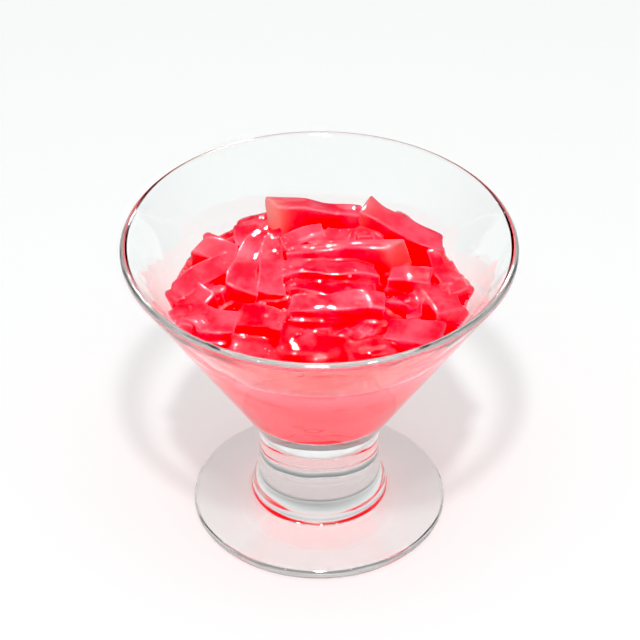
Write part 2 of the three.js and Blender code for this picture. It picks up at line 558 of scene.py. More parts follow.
@dataclass(frozen=True)
class SyrupFinish:
    """Clear red syrup, with the strips in it showing as paler shapes. On the glass it grows paler towards
    the top, a painted reflection. Sizes are in millimetres.

    Where light runs along the glass it shines like a mirror, a share of it scattered. On the glass it also
    glows a little red, a painted glow.
    """

    deep: Colour = (1.0, 0.002, 0.010)
    passed: Colour = (0.99, 0.42, 0.48)
    depth: float = 8.0
    spread: Triple = (1.0, 0.14, 0.16)
    roughness: float = 0.02
    index: float = 1.4
    ripple_size: float = 3.2
    ripple_depth: float = 0.3
    ripple_strength: float = 0.7
    deep_on_glass: Colour = (1.0, 0.012, 0.025)
    # pale end of the sunk strips' shapes and of the painted reflection on the glass
    sunk_and_reflection_on_glass: Colour = (1.0, 0.215, 0.280)
    # painted glow: the syrup on the glass gives off a little red light of its own
    painted_glow: Colour = (1.0, 0.012, 0.022)
    painted_glow_strength: float = 0.24
    mirror: Colour = (0.80, 0.90, 0.87)
    mirror_from: Span = (0.55, 0.72)
    scattered: float = 0.45
    jelly: JellyFinish = field(default_factory=JellyFinish)

    def shader(self, name: str) -> Shader:
        """Return a shader with what is common to both sides of the syrup."""
        return Shader(name).set(IOR=self.index, Subsurface_Weight=1.0, Subsurface_Radius=self.spread,
                                Subsurface_Scale=self.depth * MM)

    def free_surface(self) -> bpy.types.Material:
        """Make the finish of the open, shining surface.

        Returns:
            The finish as a material.
        """
        shader = self.shader("red_syrup").set(Roughness=self.roughness)
        shader.colour(shader.blend(shader.mark(Mark.SUNK), self.deep, self.jelly.tint(shader)))
        shader.bump(shader.noise(self.ripple_size), self.ripple_depth, self.ripple_strength)
        shader.let_light(self.passed, Ray.LAMP)
        return shader.material

    def on_glass(self) -> bpy.types.Material:
        """Make the finish of the side on the glass.

        Returns:
            The finish as a material.
        """
        shader = self.shader("red_syrup_on_glass")
        # painted glow on the side against the glass
        shader.set(Roughness=1.0, Specular_IOR_Level=0.0, Emission_Color=(*self.painted_glow, 1.0),
                   Emission_Strength=self.painted_glow_strength)
        shader.colour(shader.blend(shader.mark(Mark.SUNK), self.deep_on_glass, self.sunk_and_reflection_on_glass))
        mirror = shader.coat("ShaderNodeBsdfGlossy", self.mirror)
        mirror.node.inputs["Roughness"].default_value = 0.0
        scatter = shader.coat("ShaderNodeBsdfDiffuse", self.mirror)
        guided = shader.mix(self.scattered, mirror, scatter)
        along = shader.range(shader.facing(), *self.mirror_from)
        shader.finish(shader.mix(along, shader.surface.outputs["BSDF"], guided))
        return shader.material


@dataclass
class DessertGlass:
    """The footed glass, one turned piece. Sizes are in millimetres.

    The tilts are the outer and inner wall's angles from the upright, and the slope is how much the inner
    wall widens with height. Reach is the length of the bowl's rounding along its floor and its wall, and
    wall_start a height just above it.
    """

    rim_diameter: float = 110.0
    height: float = 92.2
    foot_diameter: float = 72.6
    stem_diameter: float = 34.6
    stem_base_diameter: float = 38.4
    foot_edge: float = 3.2
    foot_rise: float = 3.1
    base_rounding: float = 2.2
    flare_top: float = 15.0
    bowl_start: float = 29.6
    lip: float = 2.4
    floor: float = 38.0
    floor_radius: float = 19.0
    floor_rounding: float = 8.0
    steps: int = 144
    edge_steps: int = 14
    lip_steps: int = 16
    base_steps: int = 8
    floor_steps: int = 12
    spacing: float = 2.0
    underside_spacing: float = 2.5
    end_spacing: float = 0.2
    end_share: float = 0.2
    finish: GlassFinish = field(default_factory=GlassFinish)
    lip_centre: Vector = field(init=False)
    tilt: float = field(init=False)
    inner_tilt: float = field(init=False)
    slope: float = field(init=False)
    reach: float = field(init=False)
    wall_start: float = field(init=False)

    def __post_init__(self) -> None:
        """Work out the lip and the slopes of the wall."""
        radius = self.lip / 2
        self.lip_centre = Vector((self.rim_diameter / 2 - radius, 0, self.height - radius))
        rise = self.lip_centre.z - self.bowl_start
        self.tilt = math.atan((self.rim_diameter / 2 - self.stem_diameter / 2) / rise)
        inner = self.lip_centre + radius * Vector((-math.cos(self.tilt), 0, math.sin(self.tilt)))
        self.slope = (inner.x - self.floor_radius) / (inner.z - self.floor)
        self.inner_tilt = math.atan(self.slope)
        self.reach = self.floor_rounding * math.tan((math.pi / 2 - self.inner_tilt) / 2)
        self.wall_start = self.floor + self.reach

    def inner_radius(self, height: np.ndarray | float, gap: float = 0.0) -> np.ndarray | float:
        """Find the inside radius of the straight wall.

        Args:
            height: Height or heights to find it at.
            gap: Distance inside the wall, below zero for a reach into it.

        Returns:
            The radius or radii.
        """
        wall = self.floor_radius + (height - self.floor) * self.slope
        return wall - gap / math.cos(self.inner_tilt)

    def floor_bend(self, gap: float = 0.0) -> list[Vector]:
        """Draw the rounded bottom of the bowl.

        Args:
            gap: Distance inside the glass, below zero for a reach into it.

        Returns:
            Points from the bottom's middle to the wall.
        """
        level = self.floor + gap
        corner = Vector((self.inner_radius(level, gap), 0, level))
        on_floor = corner - Vector((self.reach, 0, 0))
        on_wall = corner + self.reach * Vector((math.sin(self.inner_tilt), 0, math.cos(self.inner_tilt)))
        rounding = self.bend(on_floor, corner, on_wall, self.floor_steps)
        return self.straight(Vector((0, 0, level)), on_floor, self.spacing) + rounding[1:]

    @staticmethod
    def bend(first: Vector, corner: Vector, last: Vector, steps: int) -> list[Vector]:
        """Draw a smooth bend round a corner.

        Args:
            first: Where the bend starts.
            corner: The corner that it rounds.
            last: Where the bend ends.
            steps: Number of steps along it.

        Returns:
            Points along the bend.
        """
        shares = [i / steps for i in range(steps + 1)]
        return [first.lerp(corner, s).lerp(corner.lerp(last, s), s) for s in shares]

    def straight(self, first: Vector, last: Vector, spacing: float) -> list[Vector]:
        """Draw a straight stretch.

        Args:
            first: Where the stretch starts.
            last: Where the stretch ends.
            spacing: About the distance between its points.

        Returns:
            Points along the stretch, close together at its ends.
        """
        length = (last - first).length
        count = max(2, round(length / spacing))
        ends = [0.0, min(self.end_share, self.end_spacing / length)]
        shares = ends + [i / count for i in range(1, count)] + [1.0 - s for s in reversed(ends)]
        return [first.lerp(last, s) for s in shares]

    @staticmethod
    def arc(centre: Vector, radius: float, start: float, end: float, steps: int) -> list[Vector]:
        """Draw an arc in the (radius, height) plane.

        Args:
            centre: Middle of the arc.
            radius: Radius of the arc.
            start: Angle that it starts at, in radians.
            end: Angle that it ends at, in radians.
            steps: Number of steps along it.

        Returns:
            Points along the arc.
        """
        turns = [start + (end - start) * i / steps for i in range(steps + 1)]
        return [centre + radius * Vector((math.cos(t), 0, math.sin(t))) for t in turns]

    def outline(self) -> list[Vector]:
        """Draw the glass's outline.

        Returns:
            Points in metres, from the axis round the outside and back inside.
        """
        edge = self.foot_edge / 2
        stem = self.stem_diameter / 2
        base = self.stem_base_diameter / 2
        foot_top = self.foot_edge + self.foot_rise
        foot = self.arc(Vector((self.foot_diameter / 2 - edge, 0, edge)), edge,
                        -math.pi / 2, math.pi / 2, self.edge_steps)
        fillet = (Vector((base + self.base_rounding, 0, foot_top)), Vector((base, 0, foot_top)),
                  Vector((base, 0, foot_top + self.base_rounding)))
        flare = (fillet[2], Vector((stem, 0, (fillet[2].z + self.flare_top) / 2)),
                 Vector((stem, 0, self.flare_top)))
        stem_top = Vector((stem, 0, self.bowl_start))
        lip = self.arc(self.lip_centre, self.lip / 2, -self.tilt, math.pi - self.tilt, self.lip_steps)
        floor = self.floor_bend()
        points = self.straight(Vector((0, 0, 0)), foot[0], self.underside_spacing) + foot
        points += self.straight(foot[-1], fillet[0], self.spacing)
        points += self.bend(*fillet, self.base_steps)
        points += self.bend(*flare, self.base_steps)
        points += self.straight(flare[2], stem_top, self.spacing)
        points += self.straight(stem_top, lip[0], self.spacing) + lip
        points += self.straight(lip[-1], floor[-1], self.spacing) + floor[::-1]
        kept = [points[0]]
        for point in points[1:]:
            if (point - kept[-1]).length > MERGE_GAP:
                kept.append(point)
        return [point * MM for point in kept]

    def build(self) -> bpy.types.Object:
        """Make the glass as one piece.

        Returns:
            The glass's object.
        """
        item = Bench.turned("glass_bowl_and_foot", self.outline(), self.steps)
        item.data.materials.append(self.finish.material())
        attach(item, BODY)
        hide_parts("dessert_glass")
        return item

    def inside(self, points: np.ndarray, gap: float) -> np.ndarray:
        """Hold points inside the straight wall.

        Args:
            points: Points in millimetres.
            gap: Distance inside the wall, below zero for a reach into it.

        Returns:
            The points, those past the wall moved in to it.
        """
        radius = np.maximum(np.hypot(points[:, 0], points[:, 1]), AXIS_GUARD)
        share = np.minimum(1.0, self.inner_radius(points[:, 2], gap) / radius)
        return points * np.column_stack((share, share, np.ones_like(share)))


@dataclass(frozen=True)
class Strip:
    """One cut strip of jelly, in millimetres and degrees.

    The turn is about the upright axis, then the lift of the far end, then the roll. Sag lowers both
    ends and droop the far end. Bow moves both ends sideways. Taper narrows the far end, blunt rounds
    it, twist rolls it, and skew and heel cut the far and near end at a slant. Tone makes the strip
    paler, and the lit ends paint light shining through its near and far end. Coat is the syrup that lies on
    it.
    """

    name: str
    at: Triple
    size: Triple
    turn: Triple = (0.0, 0.0, 0.0)
    sag: float = 0.0
    droop: float = 0.0
    bow: float = 0.0
    taper: float = 0.0
    blunt: float = 0.0
    twist: float = 0.0
    skew: float = 0.0
    heel: float = 0.0
    tone: float = 0.2
    # painted light shining through the near and far end
    lit_ends: Span = (0.0, 0.0)
    coat: float = 0.0

    def matrix(self) -> np.ndarray:
        """Work out where the strip lies.

        Returns:
            The matrix that takes the strip to its place, in millimetres.
        """
        yaw, lift, roll = (math.radians(angle) for angle in self.turn)
        spin = Matrix.Rotation(yaw, 4, "Z") @ Matrix.Rotation(-lift, 4, "Y") @ Matrix.Rotation(roll, 4, "X")
        return np.array(Matrix.Translation(self.at) @ spin)


STANDING_STRIPS = (
    Strip("back_slab", (-1.2, 25.4, 80.8), (25, 6.4, 11.6), (2, -8, -6), sag=0.4, heel=-32, tone=0.3,
          lit_ends=(0.9, 0.0), coat=0.2),
    Strip("right_bar", (22.8, 18.6, 81.8), (24, 8.0, 8.4), (-22, -14, 8), sag=-1.2, droop=2.6,
          taper=0.25, heel=-12, tone=0.35, lit_ends=(0.5, 0.0), coat=0.1),
    Strip("top_bar", (7.2, 7.8, 81.4), (31, 4.0, 10.0), (2, 3, 0), sag=0.3, skew=48, tone=0.4,
          lit_ends=(0.0, 0.45)),
    Strip("second_bar", (3.4, 2.6, 79.4), (27, 5.4, 7.0), (0, 0, 6), sag=0.9, droop=2.2, taper=0.2,
          twist=8, coat=0.4),
    Strip("low_bar", (3.8, -3.2, 76.4), (25, 6.6, 5.0), (-3, 0, -5), sag=0.5, bow=0.8, coat=0.5),
    Strip("front_bar", (4.6, -9.4, 76.6), (27, 7.6, 6.8), (2, 0, 3), sag=0.6, bow=0.5, twist=5, coat=0.28),
    Strip("left_outer", (-20.0, 8.0, 79.2), (26, 9.6, 7.6), (76, 8, 0), sag=0.9, taper=0.42, bow=-2.2,
          blunt=0.9, twist=-8),
    Strip("left_inner", (-13.8, 7.8, 79.0), (26, 8.2, 7.6), (86, 9, 8), sag=0.7, taper=0.45, bow=-1.0,
          blunt=0.95, tone=0.2),
    Strip("left_back", (-28.6, 13.4, 78.2), (12, 8.0, 5.6), (-20, 0, 10), tone=0.5, lit_ends=(0.3, 0.0)),
    Strip("left_long", (-32.0, 4.8, 77.4), (22, 7.4, 6.0), (42, 4, 20), sag=0.6, tone=0.3, coat=0.1),
    Strip("left_facet", (-34.6, -3.6, 75.4), (11, 8.0, 6.0), (-50, 0, 20), tone=0.5, coat=0.25),
    Strip("left_low", (-33.6, -12.8, 74.0), (9, 7.0, 6.0), (-10, 0, 10), tone=0.3, coat=0.35),
    Strip("left_corner", (-27.6, -15.2, 73.8), (10, 9.0, 7.0), (-8, 0, 8), tone=0.2, coat=0.3),
    Strip("dark_block", (-16.0, -13.0, 74.4), (13, 8.0, 6.0), (-18, 0, 12), tone=0.1, coat=0.8),
    Strip("front_left", (-19.0, -24.5, 71.8), (12, 8.0, 6.0), (-6, 0, 6), sag=0.8, blunt=0.8, tone=0.1,
          coat=1.0),
    Strip("front_middle", (-2.0, -22.0, 71.7), (17, 9.0, 7.0), (-9, 0, 8), sag=1.0, bow=1.0, taper=0.2,
          tone=0.1, coat=0.9),
    Strip("front_right", (14.0, -24.5, 71.6), (13, 8.0, 6.5), (16, 0, 4), sag=0.8, blunt=0.6, tone=0.0,
          coat=1.0),
    Strip("right_slab", (26.0, -18.4, 73.8), (15, 9.0, 6.0), (-12, 0, 8), tone=0.1, coat=0.3),
    Strip("right_block", (33.8, -6.5, 74.4), (13, 10.0, 7.4), (-70, 0, -12), tone=0.2, coat=0.35),
    Strip("right_cube", (25.4, 2.4, 76.4), (12, 7.0, 7.4), (-6, 0, 0), tone=0.2, coat=0.3),
    Strip("right_rib", (32.8, 7.6, 77.4), (16, 4.4, 6.0), (-72, -8, 0), sag=0.4, tone=0.1, coat=0.1),
    Strip("right_wall", (37.0, 3.4, 75.8), (13, 6.0, 6.0), (-68, -4, 0), tone=0.3, coat=0.35),
    Strip("right_chip", (24.0, -6.0, 73.2), (10, 4.0, 4.0), (-12, 0, 0), tone=0.1, coat=0.4),
    Strip("inner_left", (-5.0, 16.5, 80.2), (12, 6.0, 7.0), (30, 0, 14), tone=0.4, coat=0.3),
    Strip("inner_right", (7.0, 17.5, 79.8), (13, 6.0, 6.0), (-10, 4, 10), tone=0.3, coat=0.3),
    Strip("rear_left", (-16.5, 23.6, 76.2), (14, 9.0, 6.5), (20, 0, 0), tone=0.2, coat=0.1),
    Strip("rear_low_left", (-27.5, 21.0, 71.6), (16, 8.0, 6.0), (45, 0, 8), sag=0.4, tone=0.3, coat=0.3),
    Strip("rear_middle", (-4.0, 34.0, 73.4), (22, 8.0, 7.0), (8, 0, -6), sag=0.5, tone=0.2, coat=0.3),
    Strip("rear_right", (14.0, 30.0, 74.2), (18, 8.0, 7.0), (-35, 0, 0), sag=0.4, tone=0.3, coat=0.1),
    Strip("rear_far_right", (26.4, 25.0, 72.0), (16, 8.0, 6.5), (-50, 0, -8), sag=0.3, coat=0.3),
    Strip("rear_wall", (-15.0, 34.6, 71.2), (14, 7.0, 6.0), (24, 0, 0), tone=0.2, coat=0.3),
)


@dataclass(frozen=True)
class Zone:
    """A patch of the heap where small pieces lie: its middle, its half widths and their number."""

    at: Triple
    spread: Span
    count: int


CHIP_ZONES = (
    Zone((-29.0, -5.0, 76.0), (7.0, 11.0), 7), Zone((30.0, -2.0, 76.0), (7.0, 10.0), 7),
    Zone((0.0, -18.5, 73.0), (22.0, 4.0), 6), Zone((4.0, 17.0, 80.6), (12.0, 2.0), 5),
    Zone((-20.0, 28.0, 73.6), (9.0, 5.0), 4), Zone((18.0, 30.0, 73.6), (9.0, 5.0), 4),
)


@dataclass
class JellyHeap:
    """The cut strips that stand out of the syrup, in millimetres and degrees.

    Slant is the most by which a strip's own cuts differ from square, as a share of its half size, and
    swell how much of that also thickens one end. Dish hollows the faces. Wobble and grain are the
    coarse and fine unevenness. Lit edge values paint highlights and light through the thin jelly on the
    cut edges, shade values paint shade on the undersides, and the lit end length is how far painted
    light through a strip's ends reaches.
    Chips are small pieces between the strips, and their values say how they differ from the plain chip.
    """

    glass: DessertGlass
    strips: tuple[Strip, ...] = STANDING_STRIPS
    cuts: int = 5
    sharp_angle: float = 60.0
    edge_rounding: float = 0.85
    edge_segments: int = 3
    # painted highlight on the cut edges: its width, the size of its breaks, how strong it is and how much
    # it varies
    lit_edge_width: float = 0.42
    lit_edge_breaks: float = 6.0
    lit_edge_mean: float = 0.55
    lit_edge_swing: float = 1.1
    lit_edge_shift: Triple = (1.3, 2.9, 4.1)
    # painted shade on the undersides: its mean and how steeply it grows downwards
    shade_low_mean: float = 0.60
    shade_low_slope: float = 1.3
    # how far the painted light through a strip's ends reaches
    lit_end_length: float = 3.0
    slant: float = 0.25
    swell: float = 0.6
    own_twist: float = 9.0
    own_bow: float = 0.9
    dish: float = 0.06
    wobble: float = 1.0
    wobble_size: float = 9.0
    grain: float = 0.16
    grain_size: Triple = (11.0, 2.6, 2.6)
    rough_shift: Triple = (3.7, 1.1, 0.5)
    wall_reach: float = 0.08
    chip_zones: tuple[Zone, ...] = CHIP_ZONES
    chip: Strip = Strip("chip", (0.0, 0.0, 0.0), (1.0, 1.0, 1.0), sag=0.4, blunt=0.4, coat=0.3)
    chip_small: Triple = (6.0, 4.0, 3.6)
    chip_large: Triple = (11.0, 6.0, 5.0)
    chip_turn: Triple = (90.0, 10.0, 20.0)
    chip_taper: float = 0.4
    chip_tone: float = 0.5
    seed: int = 11
    finish: JellyFinish = field(default_factory=JellyFinish)

    def __post_init__(self) -> None:
        """Fix the noise that roughens the strips and add the small pieces to them."""
        noise.seed_set(self.seed)
        random = Random(self.seed)
        yaw, lift, roll = self.chip_turn
        for zone in self.chip_zones:
            for _ in range(zone.count):
                place = [zone.at[i] + zone.spread[i] * random.uniform(-1, 1) for i in (0, 1)]
                size = [random.uniform(*ends) for ends in zip(self.chip_small, self.chip_large)]
                turn = (random.uniform(-yaw, yaw), random.gauss(0, lift), random.gauss(0, roll))
                chip = replace(self.chip, at=(*place, zone.at[2]), size=tuple(size), turn=turn,
                               taper=random.uniform(0.0, self.chip_taper),
                               tone=random.uniform(0.0, self.chip_tone))
                self.strips += (chip,)

    def blank(self, name: str, size: np.ndarray) -> bpy.types.Object:
        """Make a straight strip with rounded cut edges.

        Args:
            name: Name of the strip.
            size: Length, width and height.

        Returns:
            The strip's object, at the origin.
        """
        Bench.clear()
        bpy.ops.mesh.primitive_cube_add(size=1.0)
        item = bpy.context.object
        item.name = name
        bpy.ops.object.mode_set(mode="EDIT")
        bpy.ops.transform.resize(value=size * MM)
        bpy.ops.mesh.subdivide(number_cuts=self.cuts)
        bpy.ops.mesh.select_mode(type="EDGE")
        bpy.ops.mesh.select_all(action="DESELECT")
        bpy.ops.mesh.edges_select_sharp(sharpness=math.radians(self.sharp_angle))
        bpy.ops.mesh.bevel(offset=self.edge_rounding * MM, segments=self.edge_segments, affect="EDGES")
        bpy.ops.object.mode_set(mode="OBJECT")
        Bench.modify(item, "SUBSURF", levels=1, render_levels=1)
        return item

    def bent(self, strip: Strip, straight: np.ndarray, half: np.ndarray, seed: int) -> np.ndarray:
        """Bend, taper and roughen a straight strip and set it in its place.

        Args:
            strip: The strip to follow.
            straight: Points of the straight strip in millimetres.
            half: Half the straight strip's size.
            seed: Number that gives the strip its own unevenness.

        Returns:
            The strip's points in millimetres.
        """
        u, v, w = (straight / half).T
        random = Random(seed)
        slants = [random.uniform(-self.slant, self.slant) for _ in range(6)]
        twist = strip.twist + random.uniform(-self.own_twist, self.own_twist)
        bow = strip.bow + random.uniform(-self.own_bow, self.own_bow)
        to_far, to_near = (1 + u) / 2, (1 - u) / 2
        narrow = (1 - strip.taper * to_far) * np.sqrt(1 - strip.blunt * np.clip(2 * u - 1, 0, 1) ** 2)
        x = straight[:, 0] + straight[:, 1] * math.tan(math.radians(strip.skew)) * to_far
        x += straight[:, 1] * math.tan(math.radians(strip.heel)) * to_near
        x += half[1] * (slants[0] * v * to_far + slants[1] * v * to_near)
        x += half[2] * (slants[2] * w * to_far + slants[3] * w * to_near)
        y = straight[:, 1] * narrow * (1 - self.dish * (1 - w**2)) + bow * u**2
        y *= 1 + self.swell * slants[5] * u
        z = straight[:, 2] * (1 - self.dish * (1 - v**2)) * (1 + narrow) / 2
        z *= 1 + self.swell * slants[4] * u
        z -= strip.sag * u**2 + strip.droop * np.maximum(u, 0.0) ** 2
        turn = math.radians(twist) * u
        cos, sin = np.cos(turn), np.sin(turn)
        shape = np.column_stack((x, y * cos - z * sin, y * sin + z * cos))
        shift = Vector(self.rough_shift) * seed
        uneven = [noise.noise_vector(Vector(p) / self.wobble_size + shift) for p in shape]
        grain = [noise.noise_vector(Vector(p) + shift) for p in shape / np.array(self.grain_size)]
        shape += self.wobble * np.array(uneven) + self.grain * np.array(grain)
        matrix = strip.matrix()
        return self.glass.inside(shape @ matrix[:3, :3].T + matrix[:3, 3], -self.wall_reach)

    def cut(self, strip: Strip, seed: int, coat: float = 0.0) -> bpy.types.Object:
        """Make one strip in its place.

        Args:
            strip: The strip to make.
            seed: Number that gives the strip its own unevenness.
            coat: Thickness to add all round.

        Returns:
            The strip's object.
        """
        size = np.array(strip.size) + 2 * coat
        item = self.blank(strip.name, size)
        straight = Bench.points(item)
        to_faces = np.sort(size / 2 - np.abs(straight), axis=1)
        Bench.move_points(item, self.bent(strip, straight, size / 2, seed))
        # painted highlight along the cut edges, broken up by noise
        edge = np.exp(-((np.maximum(to_faces[:, 1], 0.0) / self.lit_edge_width) ** 2))
        shift = Vector(self.lit_edge_shift) * seed
        breaks = np.array([noise.noise(Vector(p) / self.lit_edge_breaks + shift) for p in straight])
        # painted shade, darker towards the strip's underside
        low = self.shade_low_mean - self.shade_low_slope * straight[:, 2] / size[2]
        # painted light through the thin near and far ends
        near, far = (np.exp(-(size[0] / 2 + side * straight[:, 0]) / self.lit_end_length) for side in (1, -1))
        Bench.mark(item, Mark.EDGE, edge * np.clip(self.lit_edge_mean + self.lit_edge_swing * breaks, 0.0, 1.0))
        Bench.mark(item, Mark.LOW, np.clip(low, 0.0, 1.0))
        Bench.mark(item, Mark.PALE, strip.lit_ends[0] * near + strip.lit_ends[1] * far)
        Bench.mark(item, Mark.TONE, np.full(len(straight), strip.tone))
        return item

    def wetted(self) -> bpy.types.Object:
        """Return the strips with the syrup that coats them, as one rough object."""
        return Bench.joined("wet_strips", [self.cut(s, i, s.coat) for i, s in enumerate(self.strips)])

    def build(self) -> bpy.types.Object:
        """Make all the strips as one piece.

        Returns:
            The strips' object.
        """
        pieces = [self.cut(strip, index) for index, strip in enumerate(self.strips)]
        item = Bench.fused("jelly_strips", pieces)
        bpy.ops.object.shade_smooth()
        item.data.materials.clear()
        item.data.materials.append(self.finish.material())
        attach(item, BODY)
        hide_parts("jelly_heap")
        return item


@dataclass
class SyrupFill:
    """The syrup that fills the bowl, creeps up between the strips and wets the glass.

    Reach is how far it goes into the glass. The film values sink it under the strips' faces, unevenly.
    It lies on the wall up to the contact gap and leaves the wall across the wall band. Sunk strips show
    through the glass, and between the two heights of the painted reflection span it grows paler, a
    painted reflection of the bright floor, staying deep below where the shaded foot would be mirrored.
    Sizes are in millimetres, sunk_step is in degrees, and the swing, turn and tip about it are in radians.
    """

    glass: DessertGlass
    level: float = 73.1
    reach: float = 0.15
    pool_steps: int = 96
    mound_at: Triple = (0.0, 6.0, 69.0)
    mound_size: Triple = (36.0, 32.0, 8.6)
    mound_steps: tuple[int, int] = (48, 24)
    mound_gap: float = 0.6
    voxel: float = 0.55
    smoothing: int = 24
    smoothing_step: float = 0.5
    film_depth: float = 0.42
    film_patch: float = 0.45
    film_patch_size: float = 6.0
    clear_depth: float = 0.85
    contact: float = 0.9
    wall_band: float = 1.3
    wall_share: float = 0.02
    sunk_count: int = 54
    sunk_size: Triple = (25.0, 8.0, 7.0)
    sunk_rise: float = 0.7
    sunk_step: float = 137.5
    sunk_step_swing: float = 0.3
    sunk_turn: float = 0.7
    sunk_tip: float = 0.25
    sunk_fade: float = 1.6
    # painted reflection on the glass: its share, and the heights over which it grows paler
    painted_reflection_share: float = 0.62
    painted_reflection_from: Span = (61.0, 71.0)
    seed: int = 7
    finish: SyrupFinish = field(default_factory=SyrupFinish)

    def pool(self) -> bpy.types.Object:
        """Make the plain body of syrup up to its level.

        Returns:
            Its object, which reaches just into the glass.
        """
        top = self.glass.inner_radius(self.level, -self.reach)
        surface = [Vector((top, 0, self.level)), Vector((0, 0, self.level))]
        outline = self.glass.floor_bend(-self.reach) + surface
        return Bench.turned("syrup_pool", [point * MM for point in outline], self.pool_steps)

    def mound(self) -> bpy.types.Object:
        """Make the low mound of syrup under the standing strips.

        Returns:
            The mound's object.
        """
        Bench.clear()
        segments, rings = self.mound_steps
        bpy.ops.mesh.primitive_uv_sphere_add(segments=segments, ring_count=rings, radius=1.0)
        item = bpy.context.object
        points = Bench.points(item) * MM * np.array(self.mound_size) + np.array(self.mound_at)
        Bench.move_points(item, self.glass.inside(points, self.mound_gap))
        return item

    def from_wall(self, points: np.ndarray) -> np.ndarray:
        """Find how far points are from the glass.

        Args:
            points: Points in millimetres.

        Returns:
            For each point 0 on the glass, rising to 1 across the band along the wall.
        """
        radius = np.hypot(points[:, 0], points[:, 1])
        gap = (self.glass.inner_radius(points[:, 2]) - radius) * math.cos(self.glass.inner_tilt)
        share = np.clip((gap - self.contact) / self.wall_band, 0.0, 1.0)
        return softened(np.where(points[:, 2] < self.glass.wall_start, 0.0, share))

    def settle(self, item: bpy.types.Object) -> None:
        """Sink the film under the strips' faces and bring it smoothly on to the glass.

        Args:
            item: The syrup's object.
        """
        points = Bench.points(item)
        share = self.from_wall(points)
        patch = np.array([noise.noise(Vector(p) / self.film_patch_size) for p in points])
        sink = (self.film_depth + self.film_patch * patch) * share
        points -= sink[:, None] * Bench.normals(item)
        radius = np.maximum(np.hypot(points[:, 0], points[:, 1]), AXIS_GUARD)
        wall = self.glass.inner_radius(points[:, 2], -self.reach)
        on_wall = points[:, 2] > self.glass.wall_start
        target = np.where(on_wall, share * radius + (1 - share) * wall, radius)
        points[:, :2] *= (target / radius)[:, None]
        Bench.move_points(item, points)

    def sunk_strips(self) -> list[np.ndarray]:
        """Lay strips sunk in the syrup against the glass.

        Returns:
            The matrices that take the world to each strip.
        """
        random = Random(self.seed)
        lean = Matrix.Rotation(self.glass.inner_tilt, 4, "Y") @ Matrix.Rotation(math.pi / 2, 4, "Y")
        places = []
        for index in range(self.sunk_count):
            rise = random.random() ** self.sunk_rise
            height = self.glass.floor + (self.level - self.glass.floor) * rise
            swing = random.uniform(-self.sunk_step_swing, self.sunk_step_swing)
            angle = index * math.radians(self.sunk_step) + swing
            radius = self.glass.inner_radius(height) - self.sunk_size[2] / 2
            lie = Matrix.Rotation(angle, 4, "Z") @ Matrix.Translation((radius, 0, height))
            turn = Matrix.Rotation(random.gauss(math.pi / 2, self.sunk_turn), 4, "Z")
            tip = Matrix.Rotation(random.gauss(0, self.sunk_tip), 4, "X")
            places.append(np.array((lie @ lean @ turn @ tip).inverted()))
        return places

    def strips_and_reflection_behind_glass(self, points: np.ndarray) -> np.ndarray:
        """Find where sunk strips show through the glass, and paint a reflection that is paler towards the
        top.

        Args:
            points: Points in millimetres.

        Returns:
            How strongly a strip shows at each point, with the painted reflection paler towards the top,
            from 0 to 1.
        """
        shade = np.zeros(len(points))
        half = np.array(self.sunk_size) / 2
        for matrix in self.sunk_strips():
            local = points @ matrix[:3, :3].T + matrix[:3, 3]
            outside = np.linalg.norm(np.maximum(np.abs(local) - half, 0.0), axis=1)
            shade = np.maximum(shade, softened(np.clip(1 - outside / self.sunk_fade, 0, 1)))
        # painted reflection: paler towards the top, where the wall would mirror the bright floor
        high = np.interp(points[:, 2], self.painted_reflection_from, (0.0, 1.0))
        return (1 - self.painted_reflection_share) * shade + self.painted_reflection_share * high

    def mark_strips(self, item: bpy.types.Object, strips: bpy.types.Object) -> None:
        """Store where the strips show through the syrup, and what they look like there.

        Args:
            item: The syrup's object.
            strips: The standing strips' object.
        """
        points = Bench.points(item)
        tree = Bench.tree(strips)
        near = [tree.find_nearest(Vector(p)) for p in points]
        corners = [list(strips.data.polygons[face].vertices) for _, _, face, _ in near]
        # the syrup takes on the strips' painted highlights, painted shade and painted light through their
        # ends
        for mark in (Mark.TONE, Mark.LOW, Mark.PALE, Mark.EDGE):
            values = np.empty(len(strips.data.vertices), np.float32)
            strips.data.attributes[mark.value].data.foreach_get("value", values)
            Bench.mark(item, mark, [values[corner].mean() for corner in corners])
        thin = np.exp(-np.array([distance for _, _, _, distance in near]) / self.clear_depth)
        share = self.from_wall(points)
        # on the glass: the sunk strips' shapes with the painted reflection
        Bench.mark(item, Mark.SUNK, share * thin + (1 - share) * self.strips_and_reflection_behind_glass(points))

    def dress(self, item: bpy.types.Object) -> None:
        """Give the free surface and the wall side their finishes.

        Args:
            item: The syrup's object.
        """
        item.data.materials.clear()
        item.data.materials.append(self.finish.free_surface())
        item.data.materials.append(self.finish.on_glass())
        share = self.from_wall(Bench.points(item))
        for face in item.data.polygons:
            face.material_index = int(all(share[i] < self.wall_share for i in face.vertices))

    def build(self, heap: JellyHeap, strips: bpy.types.Object) -> bpy.types.Object:
        """Make the syrup as one piece.

        Args:
            heap: The standing strips, which the syrup wets.
            strips: Their finished object.

        Returns:
            The syrup's object.
        """
        item = Bench.joined("syrup_in_bowl", [self.pool(), self.mound(), heap.wetted()])
        Bench.modify(item, "REMESH", mode="VOXEL", voxel_size=self.voxel * MM)
        Bench.modify(item, "SMOOTH", factor=self.smoothing_step, iterations=self.smoothing)
        self.settle(item)
        Bench.pick(item)
        bpy.ops.object.shade_smooth()
        self.mark_strips(item, strips)
        self.dress(item)
        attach(item, BODY)
        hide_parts("syrup")
        return item


